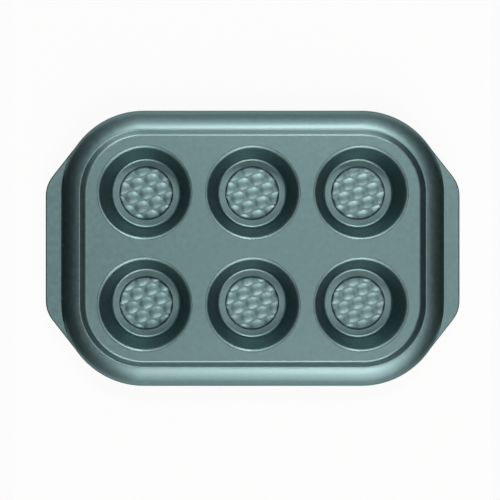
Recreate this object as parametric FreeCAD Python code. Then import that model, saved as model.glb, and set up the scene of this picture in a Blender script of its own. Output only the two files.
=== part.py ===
import FreeCAD, Part

import math
import os

from FreeCAD import Vector

os.makedirs("parts", exist_ok=True)

# Millimetres. X runs along the tin, Y across it, Z up.
# The origin is the middle of the plane on which the cups stand.

# Pressed steel sheet
SHEET = 0.8

# Cups, two rows of three, each wall leaning out to a small step round its mouth
COLUMNS = 3
ROWS = 2
LIP_RADIUS = 36.2
BRIDGE_X = 9.6
BRIDGE_Y = 12.6
CUP_DEPTH = 30.0
WALL_LEAN = 12.8
MOUTH_STEP = 0.3
LEDGE = 0.1
DRAW_RADIUS = 2.8
FLOOR_FILLET = 2.2
DECK_LAP = 1.8

# Embossed disc in each cup floor: a raised flat with shallow oval domes on a slanting lattice
FLOOR_RING = 5.9
DISC_HEIGHT = 0.6
DISC_SLOPE = 45.0
DOME_PITCHES = (11.6, 11.2)
DOME_ANGLES = (17.5, 70.6)
DOME_HEIGHT = 0.5
DOME_CURVE = 18.0
DOME_STRETCH = 2.4
DOME_TURN = 22.0

# Rim: a rounded rectangle with the same cross-section all the way round
END_BAND = 27.8
SIDE_BAND = 26.3
CORNER_BAND = 26.8
SHOULDER_RADIUS = 19.9
NOSE_RADIUS = 10.4
CREASE_SLOPE = 8.0
SHOULDER_SLOPE = 45.0
LAND = 0.9
STEP_HEIGHT = 3.5
STEP_SLOPE = 42.7
STEP_TOP_RADIUS = 1.2
STEP_FOOT_RADIUS = 3.0
DECK_MARGIN = 3.0

# Grip wings at the two ends
WING_REACH = 12.0
WING_NORMAL = 38.0
WING_CORNER = 24.0
WING_EDGE_RADIUS = 1.0
SKIRT = 2.4

# Levels
FLOOR_Z = SHEET
DECK_Z = FLOOR_Z + CUP_DEPTH
MOUTH_Z = DECK_Z - MOUTH_STEP
CREST_Z = DECK_Z + STEP_HEIGHT


def sine(degrees):
    return math.sin(math.radians(degrees))


def cosine(degrees):
    return math.cos(math.radians(degrees))


def rounded_line(points, radii):
    """Edges along the points, with each inner corner rounded by its radius."""
    edges = []
    here = points[0]
    for before, corner, after, radius in zip(points, points[1:], points[2:], radii):
        back = (before - corner).normalize()
        onward = (after - corner).normalize()
        half = back.getAngle(onward) / 2
        start = corner + back * (radius / math.tan(half))
        end = corner + onward * (radius / math.tan(half))
        inward = (back + onward).normalize()
        middle = corner + inward * (radius / math.sin(half) - radius)
        edges.append(Part.makeLine(here, start))
        edges.append(Part.Arc(start, middle, end).toShape())
        here = end
    edges.append(Part.makeLine(here, points[-1]))
    return edges


def falling_arc(start, radius, first, last):
    """Arc in the XZ plane that steepens outwards from one slope to another, and its end."""

    def spoke(slope):
        return Vector(sine(slope), 0, cosine(slope)) * radius

    centre = start - spoke(first)
    end = centre + spoke(last)
    return Part.Arc(start, centre + spoke((first + last) / 2), end).toShape(), end


def sheet_section(edges):
    """Face one sheet thick below a line of edges that runs outwards."""
    return Part.Wire(edges).makeOffset2D(-SHEET, 2, True, True)


# Cup section, from the lip inwards
DRAW_RUN = DRAW_RADIUS * cosine(WALL_LEAN) / (1 + sine(WALL_LEAN))
MOUTH_RADIUS = LIP_RADIUS - MOUTH_STEP - LEDGE - DRAW_RUN
WALL_RUN = (MOUTH_Z - FLOOR_Z) * sine(WALL_LEAN) / cosine(WALL_LEAN)
FLOOR_RADIUS = MOUTH_RADIUS - WALL_RUN
DISC_RADIUS = FLOOR_RADIUS - FLOOR_RING

# Plan: cups a bridge apart, and the rim's edge and corners a band outside their lips
PITCH_X = 2 * LIP_RADIUS + BRIDGE_X
PITCH_Y = 2 * LIP_RADIUS + BRIDGE_Y
DECK_HOLE = LIP_RADIUS + DECK_LAP
HALF_LENGTH = (COLUMNS - 1) / 2 * PITCH_X + LIP_RADIUS + END_BAND
HALF_WIDTH = (ROWS - 1) / 2 * PITCH_Y + LIP_RADIUS + SIDE_BAND
CORNER = LIP_RADIUS + CORNER_BAND
CORNER_X = HALF_LENGTH - CORNER
CORNER_Y = HALF_WIDTH - CORNER

# Rim section, with u measured outwards from a corner's axis
NOSE_RUN = NOSE_RADIUS * (1 - sine(SHOULDER_SLOPE))
SHOULDER_RUN = SHOULDER_RADIUS * (sine(SHOULDER_SLOPE) - sine(CREASE_SLOPE))
CREASE_U = CORNER - NOSE_RUN - SHOULDER_RUN
STEP_TOP_U = CREASE_U - LAND
STEP_FOOT_U = STEP_TOP_U - STEP_HEIGHT * cosine(STEP_SLOPE) / sine(STEP_SLOPE)
DECK_U = STEP_FOOT_U - DECK_MARGIN
WING_Z = (
    CREST_Z
    - SHOULDER_RADIUS * (cosine(CREASE_SLOPE) - cosine(SHOULDER_SLOPE))
    - NOSE_RADIUS * cosine(SHOULDER_SLOPE)
)
EDGE_Z = WING_Z - SKIRT


def rim_section():
    crease = Vector(CREASE_U, 0, CREST_Z)
    step = rounded_line(
        [
            Vector(DECK_U, 0, DECK_Z),
            Vector(STEP_FOOT_U, 0, DECK_Z),
            Vector(STEP_TOP_U, 0, CREST_Z),
            crease,
        ],
        (STEP_FOOT_RADIUS, STEP_TOP_RADIUS),
    )
    shoulder, shoulder_end = falling_arc(crease, SHOULDER_RADIUS, CREASE_SLOPE, SHOULDER_SLOPE)
    nose, nose_end = falling_arc(shoulder_end, NOSE_RADIUS, SHOULDER_SLOPE, 90)
    wall = Part.makeLine(nose_end, Vector(CORNER, 0, EDGE_Z))
    return sheet_section(step + [shoulder, nose, wall])


def rim():
    """Four straight lengths and four quarter turns of the rim section."""
    section = rim_section()
    corners = [
        (CORNER_X, -CORNER_Y),
        (CORNER_X, CORNER_Y),
        (-CORNER_X, CORNER_Y),
        (-CORNER_X, -CORNER_Y),
    ]
    runs = [2 * CORNER_Y, 2 * CORNER_X] * 2
    pieces = []
    for quarter, ((x, y), run) in enumerate(zip(corners, runs)):
        placed = section.copy()
        placed.rotate(Vector(), Vector(0, 0, 1), 90 * quarter)
        placed.translate(Vector(x, y, 0))
        along = Vector(-sine(90 * quarter), cosine(90 * quarter), 0)
        pieces.append(placed.extrude(along * run))
        pieces.append(placed.revolve(Vector(x, y, 0), Vector(0, 0, 1), -90))
    return pieces


def wing_points(inset):
    """Corner points of one wing's edge, from one tangent point on the rim to the other."""
    reach = HALF_LENGTH + WING_REACH - inset
    radius = CORNER - inset
    tangent = Vector(
        CORNER_X + radius * cosine(WING_NORMAL),
        CORNER_Y + radius * sine(WING_NORMAL),
        0,
    )
    tip = Vector(
        reach,
        tangent.y + (tangent.x - reach) * cosine(WING_NORMAL) / sine(WING_NORMAL),
        0,
    )
    return [
        Vector(tangent.x, -tangent.y, 0),
        Vector(tip.x, -tip.y, 0),
        tip,
        tangent,
    ]


def wing_edges(inset):
    return rounded_line(wing_points(inset), [WING_CORNER - inset] * 2)


def outline(inset):
    """Closed line round rim and wings, drawn in from the tin's edge by an inset."""
    radius = CORNER - inset
    middle_angle = (WING_NORMAL + 90) / 2

    def on_corner(side_x, side_y, angle):
        x = CORNER_X + radius * cosine(angle)
        y = CORNER_Y + radius * sine(angle)
        return Vector(side_x * x, side_y * y, 0)

    edges = []
    for side in (1, -1):
        for edge in wing_edges(inset):
            turned = edge.copy()
            turned.rotate(Vector(), Vector(0, 0, 1), 0 if side > 0 else 180)
            edges.append(turned)
        corners = [on_corner(side, side, a) for a in (WING_NORMAL, middle_angle, 90)]
        next_corner = [on_corner(-side, side, a) for a in (90, middle_angle, WING_NORMAL)]
        edges.append(Part.Arc(*corners).toShape())
        edges.append(Part.makeLine(corners[2], next_corner[0]))
        edges.append(Part.Arc(*next_corner).toShape())
    return Part.Wire(edges)


def rounded_rectangle(u):
    """Face whose edge lies u out from the rim's corner axes."""
    x = CORNER_X + u
    y = CORNER_Y + u
    start = Vector(0, -y, 0)
    corners = [Vector(x, -y, 0), Vector(x, y, 0), Vector(-x, y, 0), Vector(-x, -y, 0)]
    edge = rounded_line([start] + corners + [start], [u] * 4)
    return Part.Face(Part.Wire(edge))


def wing():
    """Block of the grip wing at the +X end, outside the rim, with its top edge rounded."""
    edges = wing_edges(0)
    ends = [edges[0].Vertexes[0].Point, edges[-1].Vertexes[-1].Point]
    axes = [Vector(CORNER_X, side * CORNER_Y, 0) for side in (-1, 1)]
    back = Part.makePolygon([ends[1], axes[1], axes[0], ends[0]]).Edges
    block = Part.Face(Part.Wire(edges + back)).extrude(Vector(0, 0, SKIRT))
    top_edge = [
        edge
        for edge in block.Edges
        if min(v.Z for v in edge.Vertexes) > SKIRT / 2 and edge.CenterOfMass.x > ends[0].x
    ]
    block = block.makeFillet(WING_EDGE_RADIUS, top_edge)
    block = block.cut(rounded_rectangle(CORNER - SHEET).extrude(Vector(0, 0, SKIRT)))
    block.translate(Vector(0, 0, EDGE_Z))
    return block


def rim_and_wings():
    """Rim and both wings as one sheet, hollow from below."""
    right = wing()
    left = right.copy()
    left.rotate(Vector(), Vector(0, 0, 1), 180)
    pieces = rim() + [right, left]
    hollow = Part.Face(outline(SHEET)).extrude(Vector(0, 0, WING_Z - SHEET - EDGE_Z))
    hollow.translate(Vector(0, 0, EDGE_Z))
    return pieces[0].multiFuse(pieces[1:]).cut(hollow)


def dome(inset):
    """Oval dome that stands on the plane z = 0, with its curve drawn in by an inset."""
    curve = DOME_CURVE - inset
    reach = math.sqrt(DOME_HEIGHT * (2 * curve - DOME_HEIGHT))
    middle = Vector(0, curve * sine(math.degrees(math.asin(reach / curve)) / 2), 0)
    middle.z = math.sqrt(curve * curve - middle.y * middle.y) - curve + DOME_HEIGHT
    edge, top = Vector(0, reach, 0), Vector(0, 0, DOME_HEIGHT)
    arc = Part.Arc(edge, middle, top).toShape()
    half = Part.Face(Part.Wire([arc, Part.makeLine(top, Vector()), Part.makeLine(Vector(), edge)]))
    half.translate(Vector(-DOME_STRETCH / 2, 0, 0))
    end = half.revolve(Vector(-DOME_STRETCH / 2, 0, 0), Vector(0, 0, 1), 180)
    side = half.extrude(Vector(DOME_STRETCH, 0, 0))
    pieces = [side]
    for piece in (end, side):
        turned = piece.copy()
        turned.rotate(Vector(), Vector(0, 0, 1), 180)
        pieces.append(turned)
    whole = end.multiFuse(pieces).removeSplitter()
    whole.rotate(Vector(), Vector(0, 0, 1), DOME_TURN)
    return whole


def raised_disc(inset):
    """Disc with a sloping border and domes on its top, drawn in from the sheet's upper face."""
    flat_z = FLOOR_Z + DISC_HEIGHT - inset
    run = cosine(DISC_SLOPE) / sine(DISC_SLOPE)
    foot_radius = DISC_RADIUS - inset * sine(DISC_SLOPE) / (1 + cosine(DISC_SLOPE))
    low_radius = foot_radius + FLOOR_Z * run
    height = FLOOR_Z + DISC_HEIGHT + DOME_HEIGHT
    border = Part.makeCone(low_radius, low_radius - height * run, height, Vector(0, 0, -inset))
    plate = Part.makeCylinder(low_radius, flat_z + inset, Vector(0, 0, -inset))
    steps = [
        Vector(cosine(angle), sine(angle), 0) * pitch
        for pitch, angle in zip(DOME_PITCHES, DOME_ANGLES)
    ]
    one_dome = dome(inset).translated(Vector(0, 0, flat_z))
    edge_radius = foot_radius - DISC_HEIGHT * run
    count = math.ceil(2 * edge_radius / min(DOME_PITCHES))
    domes = []
    for i in range(-count, count + 1):
        for j in range(-count, count + 1):
            place = steps[0] * i + steps[1] * j
            if place.Length < edge_radius + DOME_PITCHES[0] / 3:
                domes.append(one_dome.translated(place))
    return plate.multiFuse(domes).common(border)


def embossed_disc():
    """Raised disc and its hollow counter-form underneath."""
    return raised_disc(0).cut(raised_disc(SHEET))


def cup_wall():
    """Floor, wall, mouth and deck margin, turned about the cup's axis."""
    step_foot = Vector(LIP_RADIUS - MOUTH_STEP, 0, MOUTH_Z)
    step_top = Vector(LIP_RADIUS, 0, DECK_Z)
    bowl = rounded_line(
        [
            Vector(DISC_RADIUS, 0, FLOOR_Z),
            Vector(FLOOR_RADIUS, 0, FLOOR_Z),
            Vector(MOUTH_RADIUS, 0, MOUTH_Z),
            step_foot,
        ],
        (FLOOR_FILLET, DRAW_RADIUS),
    )
    margin = Part.makePolygon([step_foot, step_top, Vector(DECK_HOLE, 0, DECK_Z)]).Edges
    return sheet_section(bowl + margin).revolve(Vector(), Vector(0, 0, 1), 360)


def cup():
    return cup_wall().fuse(embossed_disc())


def deck(places):
    """Flat top between the cups and the rim's step."""
    plate = rounded_rectangle(DECK_U).extrude(Vector(0, 0, SHEET))
    plate.translate(Vector(0, 0, DECK_Z - SHEET))
    hole = Part.makeCylinder(DECK_HOLE, 3 * SHEET, Vector(0, 0, DECK_Z - 2 * SHEET))
    return plate.cut([hole.translated(place) for place in places])


def muffin_tin():
    """Deck, cups, rim and wings joined into one sheet."""
    places = [
        Vector((i - (COLUMNS - 1) / 2) * PITCH_X, (j - (ROWS - 1) / 2) * PITCH_Y, 0)
        for i in range(COLUMNS)
        for j in range(ROWS)
    ]
    one_cup = cup()
    pieces = [rim_and_wings()] + [one_cup.translated(place) for place in places]
    return deck(places).multiFuse(pieces).removeSplitter()


tin = muffin_tin()
tin.exportStep("parts/muffin_tin.step")
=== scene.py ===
import math

import bpy
from mathutils import Matrix, Vector

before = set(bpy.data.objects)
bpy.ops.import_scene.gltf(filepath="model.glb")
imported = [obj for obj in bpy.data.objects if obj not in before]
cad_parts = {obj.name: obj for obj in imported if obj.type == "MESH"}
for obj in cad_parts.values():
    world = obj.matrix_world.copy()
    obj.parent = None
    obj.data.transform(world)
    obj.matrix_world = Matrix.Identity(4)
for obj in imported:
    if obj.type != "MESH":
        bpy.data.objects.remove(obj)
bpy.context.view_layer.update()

# Camera, straight above a point a little left of and behind the tin's middle
CAMERA_X = -0.02385
CAMERA_Y = 0.01295
CAMERA_HEIGHT = 1.3813
FOCAL = 128.3
SENSOR = 36.0
SHIFT_X = 0.0572
SHIFT_Y = -0.03740

# Coated steel: its colour, and the thin glaze over it
STEEL = (0.209, 0.342, 0.350)
EDGE_TINT = 0.1
ROUGHNESS = 0.46
GLAZE = 0.20
GLAZE_INDEX = 2.0
GLAZE_ROUGHNESS = 0.30

# Mottling in tone and roughness, and the fine grain that roughens the surface
MOTTLE_SCALE = 260.0
MOTTLE_DETAIL = 5.0
MOTTLE_LOW = 0.3
MOTTLE_HIGH = 0.7
TONE_SPREAD = 0.05
ROUGHNESS_SPREAD = 0.02
GRAIN_SCALE = 900.0
GRAIN_DETAIL = 3.0
GRAIN_STRENGTH = 0.11
GRAIN_DEPTH = 0.0002

# Cup pitch, and a height that the top of every cup floor lies below
CUP_PITCH_X = 0.082
CUP_PITCH_Y = 0.085
FLOOR_TOP = 0.0023

# Painted shade: a darker line in the crease round each domed disc, where the disc's border slope is
# shaded
CREASE_RADIUS = 0.0199
CREASE_WIDTH = 0.0012
PAINTED_CREASE_SHADE = 0.75

# Smooth shading: edges sharper than these angles, in degrees, stay sharp
SHARP = 24
DISC_SHARP = 8
DISC_REACH = 0.0215
MERGE_DISTANCE = 2e-6
NORMAL_WEIGHT = 50

# Floor, half sizes in metres, and how white it looks beside its shaded colour
TABLE = (0.185, 0.40)
TABLE_TOP = -0.0001
FLOOR_COLOUR = 0.9
FLOOR_WHITE_SEEN = 0.93
FLOOR_WHITE_MIRRORED = 0.60

# Lamps: name, azimuth, elevation, half width, half height, radiance, colour
BACK_LIGHT = (1.0, 0.97, 0.96)
FRONT_LIGHT = (1.0, 0.94, 0.92)
LAMP_DISTANCE = 3.0
SOFTBOXES = (
    ("back_key", 81.0, 62.6, 0.160, 0.033, 51.5, BACK_LIGHT),
    ("back_fill", 88.0, 35.1, 0.321, 0.10, 1.05, BACK_LIGHT),
    ("front_key", 283.0, 60.3, 0.066, 0.189, 15.4, FRONT_LIGHT),
    ("front_fill", 283.0, 35.65, 0.384, 0.429, 1.85, FRONT_LIGHT),
)

# Studio round the tin, and the backdrop that the camera sees
WORLD_ENDS = 0.01
WORLD_BACK = 0.26
WORLD_FRONT = 0.15
WORLD_NARROWING = 3
WORLD_COLOUR = (0.97, 1.0, 1.0)
BACKDROP_COLOUR = (0.97, 0.97, 0.97)


def new_tree(material):
    material.use_nodes = True
    tree = material.node_tree
    tree.nodes.clear()
    return tree


def node(tree, kind, **values):
    made = tree.nodes.new(kind)
    for key, value in values.items():
        setattr(made, key, value)
    return made


def calculate(tree, operation, *values):
    """Output of a math node on numbers or other nodes' outputs."""
    made = node(tree, "ShaderNodeMath", operation=operation)
    for socket, value in zip(made.inputs, values):
        if isinstance(value, bpy.types.NodeSocket):
            tree.links.new(value, socket)
        else:
            socket.default_value = value
    return made.outputs[0]


def floor_place(tree, position):
    """Distance from the nearest cup's axis, and 1 where the height is that of the cup floors."""
    place = node(tree, "ShaderNodeSeparateXYZ")
    tree.links.new(position, place.inputs[0])
    x, y, z = place.outputs
    across = calculate(tree, "PINGPONG", x, CUP_PITCH_X / 2)
    back = calculate(tree, "PINGPONG", calculate(tree, "ADD", y, CUP_PITCH_Y / 2), CUP_PITCH_Y / 2)
    squares = [calculate(tree, "MULTIPLY", side, side) for side in (across, back)]
    distance = calculate(tree, "SQRT", calculate(tree, "ADD", *squares))
    return distance, calculate(tree, "LESS_THAN", z, FLOOR_TOP)


def sharp_limit(group):
    """Angle above which an edge is sharp: smaller on the domes, whose edges are shallow."""
    distance, low = floor_place(group, node(group, "GeometryNodeInputPosition").outputs[0])
    on_disc = calculate(group, "MULTIPLY", low, calculate(group, "LESS_THAN", distance, DISC_REACH))
    narrower = math.radians(DISC_SHARP - SHARP)
    return calculate(group, "MULTIPLY_ADD", on_disc, narrower, math.radians(SHARP))


def smooth_shading(piece):
    """Joins the faces' edges and shades them smooth, except where they meet at a sharp angle."""
    group = bpy.data.node_groups.new("smooth_shading", "GeometryNodeTree")
    group.interface.new_socket("Geometry", in_out="INPUT", socket_type="NodeSocketGeometry")
    group.interface.new_socket("Geometry", in_out="OUTPUT", socket_type="NodeSocketGeometry")
    link = group.links.new
    start = node(group, "NodeGroupInput")
    clear = node(group, "GeometryNodeRemoveAttribute")
    clear.inputs["Name"].default_value = "custom_normal"
    merge = node(group, "GeometryNodeMergeByDistance")
    merge.inputs["Distance"].default_value = MERGE_DISTANCE
    faces = node(group, "GeometryNodeSetShadeSmooth", domain="FACE")
    faces.inputs["Shade Smooth"].default_value = True
    angle = node(group, "GeometryNodeInputMeshEdgeAngle")
    compare = node(group, "FunctionNodeCompare", data_type="FLOAT", operation="GREATER_THAN")
    reset = node(group, "GeometryNodeSetShadeSmooth", domain="EDGE")
    reset.inputs["Shade Smooth"].default_value = True
    edges = node(group, "GeometryNodeSetShadeSmooth", domain="EDGE")
    edges.inputs["Shade Smooth"].default_value = False
    end = node(group, "NodeGroupOutput")
    link(start.outputs[0], clear.inputs["Geometry"])
    link(clear.outputs["Geometry"], merge.inputs["Geometry"])
    link(merge.outputs["Geometry"], faces.inputs["Geometry"])
    link(faces.outputs["Geometry"], reset.inputs["Geometry"])
    link(reset.outputs["Geometry"], edges.inputs["Geometry"])
    link(angle.outputs["Unsigned Angle"], compare.inputs[0])
    link(sharp_limit(group), compare.inputs[1])
    link(compare.outputs["Result"], edges.inputs["Selection"])
    link(edges.outputs["Geometry"], end.inputs[0])
    modifier = piece.modifiers.new("smooth_shading", "NODES")
    modifier.node_group = group
    weighted = piece.modifiers.new("weighted_normals", "WEIGHTED_NORMAL")
    weighted.mode = "FACE_AREA"
    weighted.keep_sharp = True
    weighted.weight = NORMAL_WEIGHT


def coated_steel():
    """Metal under a thin glaze, mottled and finely grained, with painted shade in the crease round
    each disc.
    """
    material = bpy.data.materials.new("coated_steel_finish")
    tree = new_tree(material)
    link = tree.links.new
    out = node(tree, "ShaderNodeOutputMaterial")
    shader = node(tree, "ShaderNodeBsdfPrincipled")
    shader.inputs["Metallic"].default_value = 1.0
    shader.inputs["Specular Tint"].default_value = (EDGE_TINT, EDGE_TINT, EDGE_TINT, 1)
    shader.inputs["Coat Weight"].default_value = GLAZE
    shader.inputs["Coat IOR"].default_value = GLAZE_INDEX
    shader.inputs["Coat Roughness"].default_value = GLAZE_ROUGHNESS
    place = node(tree, "ShaderNodeTexCoord")

    grain = node(tree, "ShaderNodeTexNoise")
    grain.inputs["Scale"].default_value = GRAIN_SCALE
    grain.inputs["Detail"].default_value = GRAIN_DETAIL
    mottle = node(tree, "ShaderNodeTexNoise")
    mottle.inputs["Scale"].default_value = MOTTLE_SCALE
    mottle.inputs["Detail"].default_value = MOTTLE_DETAIL

    tone = node(tree, "ShaderNodeValToRGB")
    ends = ((MOTTLE_LOW, 1 - TONE_SPREAD), (MOTTLE_HIGH, 1 + TONE_SPREAD))
    for element, (position, share) in zip(tone.color_ramp.elements, ends):
        element.position = position
        element.color = (*[c * share for c in STEEL], 1)

    gloss = node(tree, "ShaderNodeMapRange")
    gloss.inputs["From Min"].default_value = MOTTLE_LOW
    gloss.inputs["From Max"].default_value = MOTTLE_HIGH
    gloss.inputs["To Min"].default_value = ROUGHNESS - ROUGHNESS_SPREAD
    gloss.inputs["To Max"].default_value = ROUGHNESS + ROUGHNESS_SPREAD

    # Painted shade: share of the steel's colour that is kept, smallest in the middle of the crease
    # round each disc
    distance, low = floor_place(tree, place.outputs["Object"])
    away = calculate(tree, "ABSOLUTE", calculate(tree, "SUBTRACT", distance, CREASE_RADIUS))
    share = calculate(tree, "SUBTRACT", 1.0, calculate(tree, "DIVIDE", away, CREASE_WIDTH))
    near = calculate(tree, "MAXIMUM", share, 0.0)
    # How much painted shade darkens the steel in the crease
    crease_shade = calculate(tree, "MULTIPLY", calculate(tree, "MULTIPLY", near, low), PAINTED_CREASE_SHADE)
    kept = node(tree, "ShaderNodeVectorMath", operation="SCALE")
    link(calculate(tree, "SUBTRACT", 1.0, crease_shade), kept.inputs["Scale"])

    bump = node(tree, "ShaderNodeBump")
    bump.inputs["Strength"].default_value = GRAIN_STRENGTH
    bump.inputs["Distance"].default_value = GRAIN_DEPTH

    for texture in (grain, mottle):
        link(place.outputs["Object"], texture.inputs["Vector"])
    link(mottle.outputs["Fac"], tone.inputs["Fac"])
    link(mottle.outputs["Fac"], gloss.inputs["Value"])
    link(grain.outputs["Fac"], bump.inputs["Height"])
    link(tone.outputs["Color"], kept.inputs[0])
    link(kept.outputs[0], shader.inputs["Base Color"])
    link(gloss.outputs["Result"], shader.inputs["Roughness"])
    link(bump.outputs["Normal"], shader.inputs["Normal"])
    link(shader.outputs["BSDF"], out.inputs["Surface"])
    return material


def white_floor():
    """Pale floor that shows white to the camera and in reflections, and keeps the shadow."""
    x, y = TABLE
    z = TABLE_TOP
    mesh = bpy.data.meshes.new("floor")
    mesh.from_pydata([(-x, -y, z), (x, -y, z), (x, y, z), (-x, y, z)], [], [(0, 1, 2, 3)])
    floor = bpy.data.objects.new("floor", mesh)
    bpy.context.scene.collection.objects.link(floor)
    material = bpy.data.materials.new("floor_white")
    tree = new_tree(material)
    link = tree.links.new
    out = node(tree, "ShaderNodeOutputMaterial")
    diffuse = node(tree, "ShaderNodeBsdfDiffuse")
    diffuse.inputs["Color"].default_value = (FLOOR_COLOUR, FLOOR_COLOUR, FLOOR_COLOUR, 1)
    glow = node(tree, "ShaderNodeEmission")
    glow.inputs["Strength"].default_value = 1.0
    mix = node(tree, "ShaderNodeMixShader")
    rays = node(tree, "ShaderNodeLightPath").outputs
    mirrored = calculate(tree, "MAXIMUM", rays["Is Glossy Ray"], rays["Is Transmission Ray"])
    mirrored_share = calculate(tree, "MULTIPLY", mirrored, FLOOR_WHITE_MIRRORED)
    white = calculate(tree, "MULTIPLY_ADD", rays["Is Camera Ray"], FLOOR_WHITE_SEEN, mirrored_share)
    link(white, mix.inputs["Fac"])
    link(diffuse.outputs["BSDF"], mix.inputs[1])
    link(glow.outputs["Emission"], mix.inputs[2])
    link(mix.outputs["Shader"], out.inputs["Surface"])
    mesh.materials.append(material)


def softbox(name, azimuth, elevation, half_width, half_height, radiance, colour):
    """Rectangular lamp that faces the tin. Azimuth 0 is +X and 90 is +Y.

    The half sizes are for a lamp one metre away, and grow with the distance.
    """
    light = bpy.data.lights.new(name, "AREA")
    light.shape = "RECTANGLE"
    light.size = 2 * half_width * LAMP_DISTANCE
    light.size_y = 2 * half_height * LAMP_DISTANCE
    light.energy = math.pi * light.size * light.size_y * radiance
    light.color = colour
    lamp = bpy.data.objects.new(name, light)
    lamp.visible_camera = False
    a, e = math.radians(azimuth), math.radians(elevation)
    away = Vector((math.cos(a) * math.cos(e), math.sin(a) * math.cos(e), math.sin(e)))
    right = Vector((-math.sin(a), math.cos(a), 0))
    lamp.matrix_world = Matrix((right, away.cross(right), away)).transposed().to_4x4()
    lamp.location = away * LAMP_DISTANCE
    bpy.context.scene.collection.objects.link(lamp)


def studio_world():
    """Dim studio, paler behind and in front than at the ends, with a pale backdrop for the camera."""
    world = bpy.data.worlds.new("studio")
    bpy.context.scene.world = world
    tree = new_tree(world)
    link = tree.links.new
    place = node(tree, "ShaderNodeTexCoord")
    split = node(tree, "ShaderNodeSeparateXYZ")
    link(place.outputs["Generated"], split.inputs[0])
    level = WORLD_ENDS
    for side, strength in ((1, WORLD_BACK), (-1, WORLD_FRONT)):
        towards = calculate(tree, "MULTIPLY", split.outputs["Y"], side)
        only = calculate(tree, "MAXIMUM", towards, 0)
        narrow = calculate(tree, "POWER", only, WORLD_NARROWING)
        level = calculate(tree, "MULTIPLY_ADD", narrow, strength, level)
    dim = node(tree, "ShaderNodeBackground")
    dim.inputs["Color"].default_value = (*WORLD_COLOUR, 1)
    link(level, dim.inputs["Strength"])
    pale = node(tree, "ShaderNodeBackground")
    pale.inputs["Color"].default_value = (*BACKDROP_COLOUR, 1)
    pale.inputs["Strength"].default_value = 1.0
    mix = node(tree, "ShaderNodeMixShader")
    path = node(tree, "ShaderNodeLightPath")
    out = node(tree, "ShaderNodeOutputWorld")
    link(path.outputs["Is Camera Ray"], mix.inputs["Fac"])
    link(dim.outputs["Background"], mix.inputs[1])
    link(pale.outputs["Background"], mix.inputs[2])
    link(mix.outputs["Shader"], out.inputs["Surface"])


def overhead_camera():
    lens = bpy.data.cameras.new("camera")
    lens.lens = FOCAL
    lens.sensor_width = SENSOR
    lens.shift_x = SHIFT_X
    lens.shift_y = SHIFT_Y
    camera = bpy.data.objects.new("camera", lens)
    camera.location = (CAMERA_X, CAMERA_Y, CAMERA_HEIGHT)
    bpy.context.scene.collection.objects.link(camera)
    bpy.context.scene.camera = camera


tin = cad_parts["muffin_tin"]
smooth_shading(tin)
tin.data.materials[0] = coated_steel()
white_floor()
studio_world()
for lamp in SOFTBOXES:
    softbox(*lamp)
overhead_camera()
bpy.context.scene.view_settings.view_transform = "Standard"
